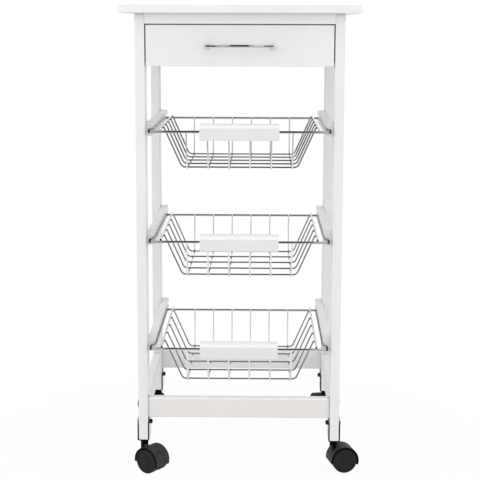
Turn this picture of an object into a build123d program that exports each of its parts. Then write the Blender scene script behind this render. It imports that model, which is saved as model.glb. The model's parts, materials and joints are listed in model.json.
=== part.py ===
from build123d import *
import math
import os

# Kitchen trolley: a white frame on swivel casters, with an inset drawer under the table top
# and pull-out wire baskets that run in grooved battens.
# Millimetres. +Z is up, +X is to the right of someone who faces the drawer, +Y points away
# from them. The origin is on the floor under the middle of the table top.

# Table top
cart_height = 750.0
table_width = 372.0
table_depth = 372.0
table_thick = 12.0
table_corner = 3.0
table_edge = 1.6

# Leg frame, under an even overhang of the table top
table_overhang = 24.0
leg_thick = 15.0
leg_depth = 38.0
board_edge = 1.0

# Rails and aprons
top_rail_height = 16.2
top_rail_thick = 18.0
apron_height = 83.0
apron_thick = 12.0
lower_rail_top = 125.8
lower_rail_height = 32.2
lower_rail_thick = 18.0
lower_rail_setback = 3.0
lower_rail_edge = 2.0

# Drawer
drawer_top_gap = 1.5
drawer_side_gap = 1.7
drawer_front_height = 63.0
drawer_front_thick = 15.0
drawer_rear_gap = 20.0
drawer_side_thick = 12.0
drawer_side_height = 46.0
drawer_side_lift = 5.0
drawer_back_thick = 12.0
drawer_bottom_thick = 4.0
drawer_bottom_lift = 4.0
drawer_bottom_tongue = 5.0
panel_clearance = 0.1
drawer_runner_height = 11.0
drawer_runner_thick = 7.0
drawer_runner_drop = 34.0
drawer_runner_end_gap = 1.5
drawer_gap = 1.0
drawer_slot_clearance = 0.5
slide_clearance = 0.3

# Drawer handle
handle_hole_spacing = 96.0
handle_rod = 5.0
handle_span = 121.5
handle_reach = 15.0
handle_bow = 4.0
handle_corner = 8.0
handle_bow_radius = 240.0
handle_tilt = 5.5
handle_drop = 33.5
handle_screw = 3.0
handle_screw_head = 7.0
handle_screw_grip = 6.0

# Basket battens
basket_lowest = 212.0
basket_pitch = 173.5
batten_thick = 11.5
batten_height = 20.6
batten_front_gap = 14.0
wire_stand = 0.5

# Basket wires
frame_wire = 4.0
rim_wire = 3.2
mesh_wire = 2.6
weld_gap = 0.05
basket_length = 273.0
basket_overhang = 4.0
basket_depth = 61.5
hoop_splay = 28.5
front_wire_drop = 2.6
frame_bend = 4.0
jog_out = 5.6
jog_back = 13.0
jog_bend = 2.7
rim_inset = 11.5
rim_over = 1.5
hoop_count = 5
hoop_front = 37.5
hoop_rear = 23.0
mesh_bend = 8.0
bar_count = 6
bar_margin = 11.5
bar_corner_lead = 9.0

# Wooden grip bar on each basket
grip_width = 123.5
grip_above = 10.2
grip_below = 15.2
grip_front = 15.0
grip_behind = 1.0
grip_round = 7.8
grip_clearance = 0.1

# Casters
caster_height = 54.6
wheel_radius = 20.0
wheel_width = 12.4
wheel_edge = 1.2
wheel_rim = 3.6
wheel_dish = 0.9
wheel_gap = 0.5
caster_trail = 15.6
hood_clearance = 0.8
hood_wall = 2.4
hood_skirt = 5.0
hood_rake = 5.0
web_thick = 7.0
web_boss = 6.5
neck_radius = 6.2
neck_blend = 1.6
neck_gap = 0.6
axle_radius = 2.5
axle_grip = 8.5
stem_radius = 4.0
stem_reach = 13.5
stem_head_radius = 6.0
stem_head_height = 2.0
running_fit = 0.06
seat_fit = 0.03

# Caster straps
strap_thick = 2.0
strap_inset = 0.2
strap_arm = 34.4
strap_corner = 3.0
strap_tip = 12.0
strap_fit = 0.1
strap_bolt_below_tip = 9.3
strap_bolt_radius = 2.0
strap_bolt_head = 3.4
strap_bolt_head_height = 1.5
strap_nut_across = 7.0
strap_nut_height = 3.2
strap_bolt_tail = 0.8

# Frame screws, through the legs into the rail ends
screw_radius = 2.0
screw_head_radius = 3.2
screw_head_height = 0.9
screw_length = 42.0
screw_above_rail_middle = 11.0

# Heading of each caster's trail, in degrees from +X
caster_headings = {"front_left": -35.0, "front_right": 13.0, "rear_left": 140.0, "rear_right": 105.0}

# Places worked out from the sizes above
frame_width = table_width - 2 * table_overhang
frame_depth = table_depth - 2 * table_overhang
table_underside = cart_height - table_thick
frame_front = -frame_depth / 2
frame_rear = frame_depth / 2
leg_outer = frame_width / 2
leg_inner = leg_outer - leg_thick
leg_foot = caster_height + strap_thick
leg_centre_x = leg_outer - leg_thick / 2
leg_centre_y = frame_rear - leg_depth / 2
leg_gap_half = frame_rear - leg_depth
basket_names = ("bottom", "middle", "top")
basket_levels = [basket_lowest + basket_pitch * step for step in range(len(basket_names))]
sides = {"left": -1, "right": 1}
corners = {
    "front_left": (-1, -1),
    "front_right": (1, -1),
    "rear_left": (-1, 1),
    "rear_right": (1, 1),
}
lower_rail_middle = lower_rail_top - lower_rail_height / 2
lower_screw_z = lower_rail_middle + screw_above_rail_middle
upper_screw_z = table_underside - top_rail_height / 2
strap_bolt_z = leg_foot + strap_arm - strap_bolt_below_tip
front_screw_y = frame_front + top_rail_thick / 2
rear_screw_y = frame_rear - (leg_outer - leg_inner) + apron_thick / 2


def save(piece, name):
    piece.part.label = name
    export_step(piece.part, f"parts/{name}.step")


def cut_across_x(x_from, x_to, y, z, radius):
    """Cuts a round hole that runs along X between two places."""
    with BuildSketch(Plane.YZ.offset(x_from)) as hole:
        with Locations((y, z)):
            Circle(radius)
    extrude(hole.sketch, amount=x_to - x_from, mode=Mode.SUBTRACT)


# Table top: a board with softened corners and edges
with BuildPart() as tabletop:
    with BuildSketch(Plane.XY.offset(table_underside)):
        RectangleRounded(table_width, table_depth, table_corner)
    extrude(amount=table_thick)
    fillet(tabletop.edges().group_by(Axis.Z)[-1], table_edge)
    fillet(tabletop.edges().group_by(Axis.Z)[0], table_edge)
save(tabletop, "tabletop")


def screw_y(y_sign):
    """Middle of the rail end that a frame screw enters, at the front or the rear."""
    return front_screw_y if y_sign < 0 else rear_screw_y


def lower_screw_y(y_sign):
    return y_sign * (frame_rear - lower_rail_setback - lower_rail_thick / 2)


# Legs: flat uprights, drilled for the frame screws, the strap bolt and the caster stem's head
for corner, (x_sign, y_sign) in corners.items():
    with BuildPart() as leg:
        with BuildSketch(Plane.XY.offset(leg_foot)):
            with Locations((x_sign * leg_centre_x, y_sign * leg_centre_y)):
                Rectangle(leg_thick, leg_depth)
        extrude(amount=table_underside - leg_foot)
        fillet(leg.edges().filter_by(Axis.Z), board_edge)
        with BuildSketch(Plane.XY.offset(leg_foot)):
            with Locations((x_sign * leg_centre_x, y_sign * leg_centre_y)):
                Circle(stem_head_radius + seat_fit)
        extrude(amount=stem_head_height + seat_fit, mode=Mode.SUBTRACT)
        holes = (
            (screw_y(y_sign), upper_screw_z, screw_radius),
            (lower_screw_y(y_sign), lower_screw_z, screw_radius),
            (y_sign * leg_centre_y, strap_bolt_z, strap_bolt_radius),
        )
        for hole_y, hole_z, hole_radius in holes:
            cut_across_x(x_sign * leg_inner, x_sign * leg_outer, hole_y, hole_z, hole_radius + seat_fit)
    save(leg, f"leg_{corner}")

# Front top rail: the narrow board above the drawer
with BuildPart() as front_top_rail:
    with BuildSketch(Plane.XZ.offset(-frame_front)):
        with Locations((0, table_underside)):
            Rectangle(2 * leg_inner, top_rail_height, align=(Align.CENTER, Align.MAX))
    extrude(amount=-top_rail_thick)
    fillet(front_top_rail.edges().filter_by(Axis.X).group_by(Axis.Z)[0], board_edge)
    for x_sign in sides.values():
        cut_across_x(
            x_sign * leg_inner,
            x_sign * (leg_outer - screw_length),
            front_screw_y,
            upper_screw_z,
            screw_radius + seat_fit,
        )
save(front_top_rail, "front_top_rail")

# Side aprons close the drawer bay between the front and rear legs
for side, x_sign in sides.items():
    with BuildPart() as apron:
        with BuildSketch(Plane.XY.offset(table_underside - apron_height)):
            with Locations((x_sign * (leg_inner + apron_thick / 2), 0)):
                Rectangle(apron_thick, 2 * leg_gap_half)
        extrude(amount=apron_height)
        fillet(apron.edges().filter_by(Axis.Y).group_by(Axis.Z)[0], board_edge)
    save(apron, f"apron_{side}")

# Rear apron between the rear legs
apron_rear_front = frame_rear - leg_thick
with BuildPart() as apron_rear:
    with BuildSketch(Plane.XY.offset(table_underside - apron_height)):
        with Locations((0, apron_rear_front + apron_thick / 2)):
            Rectangle(2 * leg_inner, apron_thick)
    extrude(amount=apron_height)
    fillet(apron_rear.edges().filter_by(Axis.X).group_by(Axis.Z)[0], board_edge)
    for x_sign in sides.values():
        cut_across_x(
            x_sign * leg_inner,
            x_sign * (leg_outer - screw_length),
            rear_screw_y,
            upper_screw_z,
            screw_radius + seat_fit,
        )
save(apron_rear, "apron_rear")

# Lower rails: a ring of boards above the casters
for end, y_sign in {"front": -1, "rear": 1}.items():
    with BuildPart() as lower_rail:
        with BuildSketch(Plane.XY.offset(lower_rail_top - lower_rail_height)):
            with Locations((0, lower_screw_y(y_sign))):
                Rectangle(2 * leg_inner, lower_rail_thick)
        extrude(amount=lower_rail_height)
        fillet(lower_rail.edges().filter_by(Axis.X), lower_rail_edge)
        for x_sign in sides.values():
            cut_across_x(
                x_sign * leg_inner,
                x_sign * (leg_outer - screw_length),
                lower_screw_y(y_sign),
                lower_screw_z,
                screw_radius + seat_fit,
            )
    save(lower_rail, f"lower_rail_{end}")

for side, x_sign in sides.items():
    with BuildPart() as lower_rail:
        with BuildSketch(Plane.XY.offset(lower_rail_top - lower_rail_height)):
            with Locations((x_sign * (leg_outer - leg_thick / 2), 0)):
                Rectangle(leg_thick, 2 * leg_gap_half)
        extrude(amount=lower_rail_height)
        fillet(lower_rail.edges().filter_by(Axis.Y), lower_rail_edge)
    save(lower_rail, f"lower_rail_{side}")

# Frame screws: pan heads on the legs' outer faces, shanks into the rail ends
with BuildPart() as frame_screws:
    for x_sign, y_sign in corners.values():
        for seat_y, seat_z in ((screw_y(y_sign), upper_screw_z), (lower_screw_y(y_sign), lower_screw_z)):
            head_plane = Plane(origin=(x_sign * leg_outer, seat_y, seat_z), z_dir=(x_sign, 0, 0))
            with BuildSketch(head_plane):
                Circle(screw_head_radius)
            extrude(amount=screw_head_height, taper=20)
            with BuildSketch(head_plane):
                Circle(screw_radius)
            extrude(amount=-screw_length + seat_fit)
save(frame_screws, "frame_screws")

# Drawer: an inset front flush with the legs, on a grooved box that slides on two battens
drawer_top = table_underside - top_rail_height - drawer_top_gap
drawer_foot = drawer_top - drawer_front_height
drawer_box_front = frame_front + drawer_front_thick
drawer_box_rear = apron_rear_front - drawer_rear_gap
drawer_box_length = drawer_box_rear - drawer_box_front
drawer_outer = leg_inner - drawer_gap
drawer_inner = drawer_outer - drawer_side_thick
drawer_side_foot = drawer_foot + drawer_side_lift
drawer_bottom_z = drawer_side_foot + drawer_bottom_lift
drawer_slot_z = drawer_top - drawer_runner_drop
drawer_slot_depth = drawer_runner_thick - drawer_gap + drawer_slot_clearance
drawer_slot_height = drawer_runner_height + 2 * slide_clearance
drawer_groove_height = drawer_bottom_thick + 2 * panel_clearance
handle_z = drawer_top - handle_drop

with BuildPart() as drawer_front:
    with BuildSketch(Plane.XZ.offset(-frame_front)):
        with Locations((0, drawer_foot)):
            Rectangle(
                2 * (leg_inner - drawer_side_gap),
                drawer_front_height,
                align=(Align.CENTER, Align.MIN),
            )
    extrude(amount=-drawer_front_thick)
    fillet(drawer_front.faces().sort_by(Axis.Y)[0].edges(), board_edge)
    with BuildSketch(Plane.XZ.offset(-drawer_box_front)):
        with Locations((0, drawer_bottom_z + drawer_bottom_thick / 2)):
            Rectangle(2 * (drawer_inner + drawer_bottom_tongue + panel_clearance), drawer_groove_height)
    extrude(amount=drawer_bottom_tongue + panel_clearance, mode=Mode.SUBTRACT)
    with BuildSketch(Plane.XZ.offset(-frame_front)):
        with Locations((0, handle_z)):
            with GridLocations(handle_hole_spacing, 0, 2, 1):
                Circle(handle_screw / 2 + seat_fit)
    extrude(amount=-drawer_front_thick, mode=Mode.SUBTRACT)
save(drawer_front, "drawer_front")

# Drawer sides carry the runner groove outside and the bottom panel's groove inside
for side, x_sign in sides.items():
    with BuildPart() as drawer_side:
        with BuildSketch(Plane.XZ.offset(-drawer_box_front)):
            with Locations((x_sign * (drawer_inner + drawer_side_thick / 2), drawer_side_foot)):
                Rectangle(drawer_side_thick, drawer_side_height, align=(Align.CENTER, Align.MIN))
            with Locations((x_sign * (drawer_outer - drawer_slot_depth / 2), drawer_slot_z)):
                Rectangle(drawer_slot_depth, drawer_slot_height, mode=Mode.SUBTRACT)
            with Locations(
                (
                    x_sign * (drawer_inner + drawer_bottom_tongue / 2),
                    drawer_bottom_z + drawer_bottom_thick / 2,
                )
            ):
                Rectangle(
                    drawer_bottom_tongue + 2 * panel_clearance,
                    drawer_groove_height,
                    mode=Mode.SUBTRACT,
                )
        extrude(amount=-drawer_box_length)
        fillet(drawer_side.edges().filter_by(Axis.Y).group_by(Axis.Z)[-1], board_edge)
    save(drawer_side, f"drawer_side_{side}")

drawer_back_foot = drawer_bottom_z + drawer_bottom_thick + panel_clearance
with BuildPart() as drawer_back:
    with BuildSketch(Plane.XY.offset(drawer_back_foot)):
        with Locations((0, drawer_box_rear - drawer_back_thick / 2)):
            Rectangle(2 * drawer_inner, drawer_back_thick)
    extrude(amount=drawer_side_foot + drawer_side_height - drawer_back_foot)
    fillet(drawer_back.edges().filter_by(Axis.X).group_by(Axis.Z)[-1], board_edge)
save(drawer_back, "drawer_back")

with BuildPart() as drawer_bottom:
    with BuildSketch(Plane.XY.offset(drawer_bottom_z)):
        with Locations((0, drawer_box_front - drawer_bottom_tongue)):
            Rectangle(
                2 * (drawer_inner + drawer_bottom_tongue),
                drawer_box_length + drawer_bottom_tongue,
                align=(Align.CENTER, Align.MIN),
            )
    extrude(amount=drawer_bottom_thick)
save(drawer_bottom, "drawer_bottom")

# Drawer runners: battens on the inner faces of legs and aprons
for side, x_sign in sides.items():
    with BuildPart() as drawer_runner:
        with BuildSketch(Plane.XZ.offset(-drawer_box_front - drawer_runner_end_gap)):
            with Locations((x_sign * (leg_inner - drawer_runner_thick / 2), drawer_slot_z)):
                Rectangle(drawer_runner_thick, drawer_runner_height)
        extrude(amount=drawer_box_front + drawer_runner_end_gap - apron_rear_front)
    save(drawer_runner, f"drawer_runner_{side}")

# Drawer handle: a bright rod bent into a shallow bow, its feet drilled for the screws
handle_plane = Plane(
    origin=(0, frame_front, handle_z),
    x_dir=(1, 0, 0),
    z_dir=(0, math.sin(math.radians(handle_tilt)), math.cos(math.radians(handle_tilt))),
)
handle_half = (handle_span - handle_rod) / 2
foot_lean = (handle_half - handle_hole_spacing / 2) / handle_reach
with BuildPart() as drawer_handle:
    with BuildLine(handle_plane) as handle_path:
        FilletPolyline(
            (-handle_hole_spacing / 2 + foot_lean * handle_rod, handle_rod),
            (-handle_half - foot_lean, -handle_reach),
            (0, -handle_reach - handle_bow),
            (handle_half + foot_lean, -handle_reach),
            (handle_hole_spacing / 2 - foot_lean * handle_rod, handle_rod),
            radius=(handle_corner, handle_bow_radius, handle_corner),
        )
    with BuildSketch(Plane(origin=handle_path.line @ 0, z_dir=handle_path.line % 0)):
        Circle(handle_rod / 2)
    sweep()
    split(bisect_by=Plane.XZ.offset(-frame_front), keep=Keep.TOP)
    with BuildSketch(Plane.XZ.offset(-frame_front)):
        with Locations((0, handle_z)):
            with GridLocations(handle_hole_spacing, 0, 2, 1):
                Circle(handle_screw / 2 + seat_fit)
    extrude(amount=handle_screw_grip + seat_fit, mode=Mode.SUBTRACT)
save(drawer_handle, "drawer_handle")

with BuildPart() as handle_screws:
    with BuildSketch(Plane.XZ.offset(-drawer_box_front)):
        with Locations((0, handle_z)):
            with GridLocations(handle_hole_spacing, 0, 2, 1):
                Circle(handle_screw / 2)
    extrude(amount=drawer_front_thick + handle_screw_grip)
    with BuildSketch(Plane.XZ.offset(-drawer_box_front)):
        with Locations((0, handle_z)):
            with GridLocations(handle_hole_spacing, 0, 2, 1):
                Circle(handle_screw_head / 2)
    extrude(amount=-handle_screw / 2, taper=25)
save(handle_screws, "handle_screws")

# Basket battens: strips on the inner faces of the legs, grooved for a basket's side wires
side_wire_x = leg_inner - batten_thick - wire_stand
batten_front = frame_front + batten_front_gap
groove_half = frame_wire / 2 + slide_clearance
groove_floor = side_wire_x + frame_wire / 2 + slide_clearance
batten_face = leg_inner - batten_thick
for basket, level in zip(basket_names, basket_levels):
    for side, x_sign in sides.items():
        with BuildPart() as batten:
            with BuildSketch(Plane.XZ.offset(-batten_front)):
                with Locations((x_sign * (leg_inner - batten_thick / 2), level)):
                    Rectangle(batten_thick, batten_height)
                with Locations((x_sign * (batten_face + groove_floor) / 2, level)):
                    Rectangle(groove_floor - batten_face, 2 * groove_half, mode=Mode.SUBTRACT)
            extrude(amount=batten_front - frame_rear)
        save(batten, f"basket_runner_{basket}_{side}")

# Basket wires: bent and butt-welded, drawn a hair apart where one wire lies on another
front_wire_y = frame_front - basket_overhang
rear_wire_y = front_wire_y + basket_length
frame_radius = frame_wire / 2
rim_radius = rim_wire / 2
mesh_radius = mesh_wire / 2
rim_x = side_wire_x - rim_inset
basket_bottom_half = rim_x - hoop_splay
bar_pitch = 2 * (basket_bottom_half - bar_margin) / (bar_count - 1)
rim_on_frame = frame_radius + rim_radius + weld_gap
bar_on_frame = frame_radius + mesh_radius + weld_gap
hoop_on_rim = rim_radius + mesh_radius + weld_gap
bar_under_hoop = 2 * mesh_radius + weld_gap
hoop_pitch = (basket_length - hoop_front - hoop_rear) / (hoop_count - 1)


def bend_wire(plane, points, bend, radius):
    """Sweeps a round wire along straight runs joined by bends, inside the current part."""
    with BuildLine(plane) as path:
        FilletPolyline(*points, radius=bend)
    with BuildSketch(Plane(origin=path.line @ 0, z_dir=path.line % 0)) as section:
        Circle(radius)
    sweep(section.sketch, path=path.line)


def straight_wire(start, end, radius):
    """A round wire from one point to another, inside the current part."""
    run = Vector(*end) - Vector(*start)
    with BuildSketch(Plane(origin=start, z_dir=run)) as section:
        Circle(radius)
    extrude(section.sketch, amount=run.length)


for basket, level in zip(basket_names, basket_levels):
    front_wire_z = level - front_wire_drop
    rim_front_z = front_wire_z + rim_on_frame
    rim_rear_z = level + rim_on_frame
    rim_slope = (rim_rear_z - rim_front_z) / basket_length
    hoop_z = level - basket_depth
    bar_z = hoop_z - bar_under_hoop
    jog_y = front_wire_y + jog_back
    jog_x = side_wire_x + jog_out
    front_weld_y = front_wire_y + frame_radius + weld_gap

    # The outer wire runs in the batten grooves and cranks outwards in front of their ends
    with BuildPart() as basket_frame:
        half_path = ((jog_x, front_weld_y), (jog_x, jog_y), (side_wire_x, jog_y), (side_wire_x, rear_wire_y))
        mirrored = [(-x, y) for x, y in reversed(half_path)]
        frame_bends = (jog_bend, jog_bend, frame_bend, frame_bend, jog_bend, jog_bend)
        bend_wire(Plane.XY.offset(level), (*half_path, *mirrored), frame_bends, frame_radius)
        straight_wire(
            (-jog_x - frame_radius, front_wire_y, front_wire_z),
            (jog_x + frame_radius, front_wire_y, front_wire_z),
            frame_radius,
        )
        for x_sign in sides.values():
            straight_wire(
                (x_sign * rim_x, front_wire_y - rim_over, rim_front_z - rim_slope * rim_over),
                (x_sign * rim_x, rear_wire_y + rim_over, rim_rear_z + rim_slope * rim_over),
                rim_radius,
            )
    save(basket_frame, f"basket_{basket}_frame")

    # Hoops hang across the basket from rim to rim
    with BuildPart() as basket_hoops:
        for step in range(hoop_count):
            hoop_y = front_wire_y + hoop_front + hoop_pitch * step
            rim_z = rim_front_z + rim_slope * (hoop_y - front_wire_y)
            lean = math.atan2(rim_x - basket_bottom_half, rim_z - hoop_z)
            inward = hoop_on_rim / math.cos(lean)
            top_z = rim_z + rim_radius
            top_x = rim_x - inward + rim_radius * math.tan(lean)
            bottom_x = basket_bottom_half - inward
            hoop_plane = Plane(origin=(0, hoop_y, 0), x_dir=(1, 0, 0), z_dir=(0, -1, 0))
            hoop_points = ((top_x, top_z), (bottom_x, hoop_z), (-bottom_x, hoop_z), (-top_x, top_z))
            bend_wire(hoop_plane, hoop_points, mesh_bend, mesh_radius)
    save(basket_hoops, f"basket_{basket}_hoops")

    # Bars run from the front wire down, under the hoops and up to the rear wire
    front_corner_y = front_wire_y + hoop_front - bar_corner_lead
    rear_corner_y = rear_wire_y - hoop_rear + bar_corner_lead
    front_lean = math.atan2(front_corner_y - front_wire_y, front_wire_z - bar_z)
    front_shift = bar_on_frame / math.cos(front_lean)
    rear_lean = math.atan2(rear_wire_y - rear_corner_y, level - bar_z)
    rear_shift = bar_on_frame / math.cos(rear_lean)
    with BuildPart() as basket_bars:
        for step in range(bar_count):
            bar_x = (step - (bar_count - 1) / 2) * bar_pitch
            bar_plane = Plane(origin=(bar_x, 0, 0), x_dir=(0, 1, 0), z_dir=(1, 0, 0))
            bar_points = (
                (front_wire_y + front_shift, front_wire_z),
                (front_corner_y + front_shift, bar_z),
                (rear_corner_y - rear_shift, bar_z),
                (rear_wire_y - rear_shift + frame_radius * math.tan(rear_lean), level + frame_radius),
            )
            bend_wire(bar_plane, bar_points, mesh_bend, mesh_radius)
    save(basket_bars, f"basket_{basket}_bars")

    # Wooden grip bar, grooved at the back for the front wire
    grip_depth = grip_front + grip_behind
    with BuildPart() as basket_grip:
        with BuildSketch(Plane(origin=(0, front_wire_y, level), x_dir=(0, 1, 0), z_dir=(1, 0, 0))):
            with Locations((-grip_front, -grip_below)):
                Rectangle(grip_depth, grip_above + grip_below, align=(Align.MIN, Align.MIN))
            with Locations((0, -front_wire_drop)):
                Circle(frame_radius + grip_clearance, mode=Mode.SUBTRACT)
                Rectangle(
                    grip_depth,
                    2 * (frame_radius + grip_clearance),
                    align=(Align.MIN, Align.CENTER),
                    mode=Mode.SUBTRACT,
                )
        extrude(amount=grip_width / 2, both=True)
        front_edges = basket_grip.faces().sort_by(Axis.Y)[0].edges().filter_by(Axis.X)
        fillet(front_edges.sort_by(Axis.Z)[-1], grip_round)
        fillet(basket_grip.edges().filter_by(Axis.X).sort_by(Axis.Z)[0:2], board_edge)
    save(basket_grip, f"basket_{basket}_grip")

# Caster straps: steel strips bent under each leg's foot and bolted through it
strap_inner = leg_thick + 2 * strap_fit
strap_outer = strap_inner + 2 * strap_thick
with BuildPart() as caster_straps:
    for x_sign, y_sign in corners.values():
        foot = (x_sign * leg_centre_x, y_sign * leg_centre_y)
        strap_plane = Plane(origin=(*foot, caster_height), x_dir=(1, 0, 0), z_dir=(0, -1, 0))
        with BuildSketch(strap_plane) as strap_bend:
            Rectangle(strap_outer, strap_arm + strap_thick, align=(Align.CENTER, Align.MIN))
            fillet(strap_bend.vertices().group_by(Axis.Y)[0], strap_corner)
            with Locations((0, strap_thick)):
                Rectangle(strap_inner, strap_arm, align=(Align.CENTER, Align.MIN), mode=Mode.SUBTRACT)
        extrude(amount=leg_depth / 2 - strap_inset, both=True)
        with BuildSketch(Plane.XY.offset(caster_height)):
            with Locations(foot):
                Circle(stem_radius + seat_fit)
        extrude(amount=strap_thick, mode=Mode.SUBTRACT)
        cut_across_x(
            foot[0] - strap_outer / 2,
            foot[0] + strap_outer / 2,
            foot[1],
            strap_bolt_z,
            strap_bolt_radius + seat_fit,
        )
    tip_edges = caster_straps.edges().filter_by(Axis.X).filter_by_position(
        Axis.Z, leg_foot + strap_arm - seat_fit, leg_foot + strap_arm + seat_fit
    )
    fillet(tip_edges, strap_tip)
save(caster_straps, "caster_straps")

# Strap bolts: a low head outside each leg, a nut inside
with BuildPart() as strap_bolts:
    for x_sign, y_sign in corners.values():
        outside_x = x_sign * (leg_centre_x + strap_outer / 2)
        bolt_plane = Plane(origin=(outside_x, y_sign * leg_centre_y, strap_bolt_z), z_dir=(x_sign, 0, 0))
        with BuildSketch(bolt_plane):
            Circle(strap_bolt_head)
        extrude(amount=strap_bolt_head_height, taper=15)
        with BuildSketch(bolt_plane):
            Circle(strap_bolt_radius)
        extrude(amount=-strap_outer - strap_nut_height - strap_bolt_tail)
        with BuildSketch(bolt_plane.offset(-strap_outer)):
            RegularPolygon(strap_nut_across / 2, 6, major_radius=False)
            Circle(strap_bolt_radius + seat_fit, mode=Mode.SUBTRACT)
        extrude(amount=-strap_nut_height)
save(strap_bolts, "strap_bolts")

# Caster stems: pins riveted through the straps, on which the housings swivel
with BuildPart() as caster_stems:
    for x_sign, y_sign in corners.values():
        foot = (x_sign * leg_centre_x, y_sign * leg_centre_y)
        with BuildSketch(Plane.XY.offset(leg_foot)):
            with Locations(foot):
                Circle(stem_radius)
        extrude(amount=-strap_thick - stem_reach)
        with BuildSketch(Plane.XY.offset(leg_foot)):
            with Locations(foot):
                Circle(stem_head_radius)
        extrude(amount=stem_head_height)
save(caster_stems, "caster_stems")

# Casters: a moulded hood with a web between two wheels, behind a neck that turns on the stem
hood_inner = wheel_radius + hood_clearance
hood_outer = hood_inner + hood_wall
hood_half = web_thick / 2 + wheel_gap + wheel_width
wheel_inside = web_thick / 2 + wheel_gap
bore_floor = wheel_inside + axle_grip

for corner, (x_sign, y_sign) in corners.items():
    heading = math.radians(caster_headings[corner])
    trail = Vector(math.cos(heading), math.sin(heading), 0)
    axle_direction = Vector(-math.sin(heading), math.cos(heading), 0)
    stem_foot = Vector(x_sign * leg_centre_x, y_sign * leg_centre_y, 0)
    hub = stem_foot + trail * caster_trail + Vector(0, 0, wheel_radius)
    axle_plane = Plane(origin=hub, x_dir=trail, z_dir=-axle_direction)
    neck_top = caster_height - neck_gap

    with BuildPart() as housing:
        with BuildSketch(axle_plane):
            Circle(hood_outer)
            with Locations(Location((0, -hood_skirt, 0), (0, 0, -hood_rake))):
                Rectangle(
                    4 * hood_outer,
                    2 * hood_outer,
                    align=(Align.CENTER, Align.MIN),
                    mode=Mode.INTERSECT,
                )
        extrude(amount=hood_half, both=True)
        with BuildSketch(Plane(origin=stem_foot).offset(wheel_radius)):
            Circle(neck_radius)
        extrude(amount=neck_top - wheel_radius)
        neck_line = housing.edges().filter_by(GeomType.BSPLINE)
        fillet(neck_line, neck_blend)
        for web_side in (-1, 1):
            with BuildSketch(axle_plane.offset(web_side * web_thick / 2)):
                Circle(hood_inner)
            extrude(amount=web_side * hood_half, mode=Mode.SUBTRACT)
        with BuildSketch(axle_plane):
            Circle(web_boss)
        extrude(amount=web_thick / 2, both=True)
        with BuildSketch(axle_plane):
            Circle(axle_radius + seat_fit)
        extrude(amount=web_thick / 2, both=True, mode=Mode.SUBTRACT)
        with BuildSketch(Plane(origin=stem_foot).offset(neck_top)):
            Circle(stem_radius + running_fit)
        extrude(amount=-stem_reach, mode=Mode.SUBTRACT)
    save(housing, f"caster_{corner}_housing")

    with BuildPart() as axle:
        with BuildSketch(axle_plane):
            Circle(axle_radius)
        extrude(amount=bore_floor - wheel_gap, both=True)
    save(axle, f"caster_{corner}_axle")

    # Wheels turn on the axle, with a raised rim round a dished outer face
    for wheel_name, wheel_side in {"a": 1, "b": -1}.items():
        face = wheel_inside + wheel_width
        profile_plane = Plane(origin=hub, x_dir=(0, 0, 1), z_dir=trail)
        bore = axle_radius + running_fit
        profile = (
            (0, bore_floor),
            (bore, bore_floor),
            (bore, wheel_inside),
            (wheel_radius - wheel_edge, wheel_inside),
            (wheel_radius, wheel_inside + wheel_edge),
            (wheel_radius, face - wheel_edge),
            (wheel_radius - wheel_edge, face),
            (wheel_radius - wheel_rim, face),
            (wheel_radius - wheel_rim - wheel_dish, face - wheel_dish),
            (0, face - wheel_dish),
        )
        with BuildPart() as wheel:
            with BuildSketch(profile_plane):
                with BuildLine():
                    Polyline(*[(r, wheel_side * across) for r, across in profile], close=True)
                make_face()
            revolve(axis=Axis(hub, axle_direction))
        save(wheel, f"caster_{corner}_wheel_{wheel_name}")
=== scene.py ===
# %% [markdown]
# # A white kitchen trolley with wire baskets
# The solids come from the CAD model, already in place and in metres. This lesson dresses them:
# paint on the boards, chrome on the wires, moulded plastic on the casters, then floor, light and
# camera.

# %% Load the solids and keep their box
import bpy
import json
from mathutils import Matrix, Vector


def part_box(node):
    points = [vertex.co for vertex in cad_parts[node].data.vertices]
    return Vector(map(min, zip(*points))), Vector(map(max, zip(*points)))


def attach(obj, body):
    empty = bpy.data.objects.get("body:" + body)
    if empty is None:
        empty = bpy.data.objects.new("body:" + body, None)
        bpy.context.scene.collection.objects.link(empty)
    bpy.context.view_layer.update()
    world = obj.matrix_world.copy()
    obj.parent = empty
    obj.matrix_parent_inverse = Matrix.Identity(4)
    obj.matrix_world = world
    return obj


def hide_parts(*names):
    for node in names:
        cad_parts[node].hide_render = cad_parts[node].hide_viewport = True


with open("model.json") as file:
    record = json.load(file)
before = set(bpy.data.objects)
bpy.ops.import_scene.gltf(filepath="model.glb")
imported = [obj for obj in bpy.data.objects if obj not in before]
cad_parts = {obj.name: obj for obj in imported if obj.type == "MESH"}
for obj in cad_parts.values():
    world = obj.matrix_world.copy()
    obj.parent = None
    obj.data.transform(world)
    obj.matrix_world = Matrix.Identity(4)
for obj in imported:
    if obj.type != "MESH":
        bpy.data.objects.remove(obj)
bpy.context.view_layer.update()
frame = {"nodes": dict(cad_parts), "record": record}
import json
import math
import bmesh
import bpy
from mathutils import Matrix, Vector

nodes = frame["nodes"]
bpy.context.scene.view_settings.view_transform = "Standard"

# %% [markdown]
# ## Finishes
# Every finish starts from the Principled shader. Pictures of paint and metal would need unwrapping
# on sixty pieces, so noise patterns in object coordinates do their work. Every solid sits at the
# origin, which makes these coordinates metres. A few helpers keep the trees short: they add a node
# and set its inputs, feed a socket with a link or a constant, and do sums.


# %% Helpers that add nodes
def start_finish(name):
    material = bpy.data.materials.new(name)
    material.use_nodes = True
    return material, material.node_tree, material.node_tree.nodes["Principled BSDF"]


def add_node(tree, kind, **inputs):
    node = tree.nodes.new(kind)
    for socket, value in inputs.items():
        node.inputs[socket.replace("_", " ")].default_value = value
    return node


def feed(tree, value, socket):
    if isinstance(value, bpy.types.NodeSocket):
        tree.links.new(value, socket)
    else:
        socket.default_value = value


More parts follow.
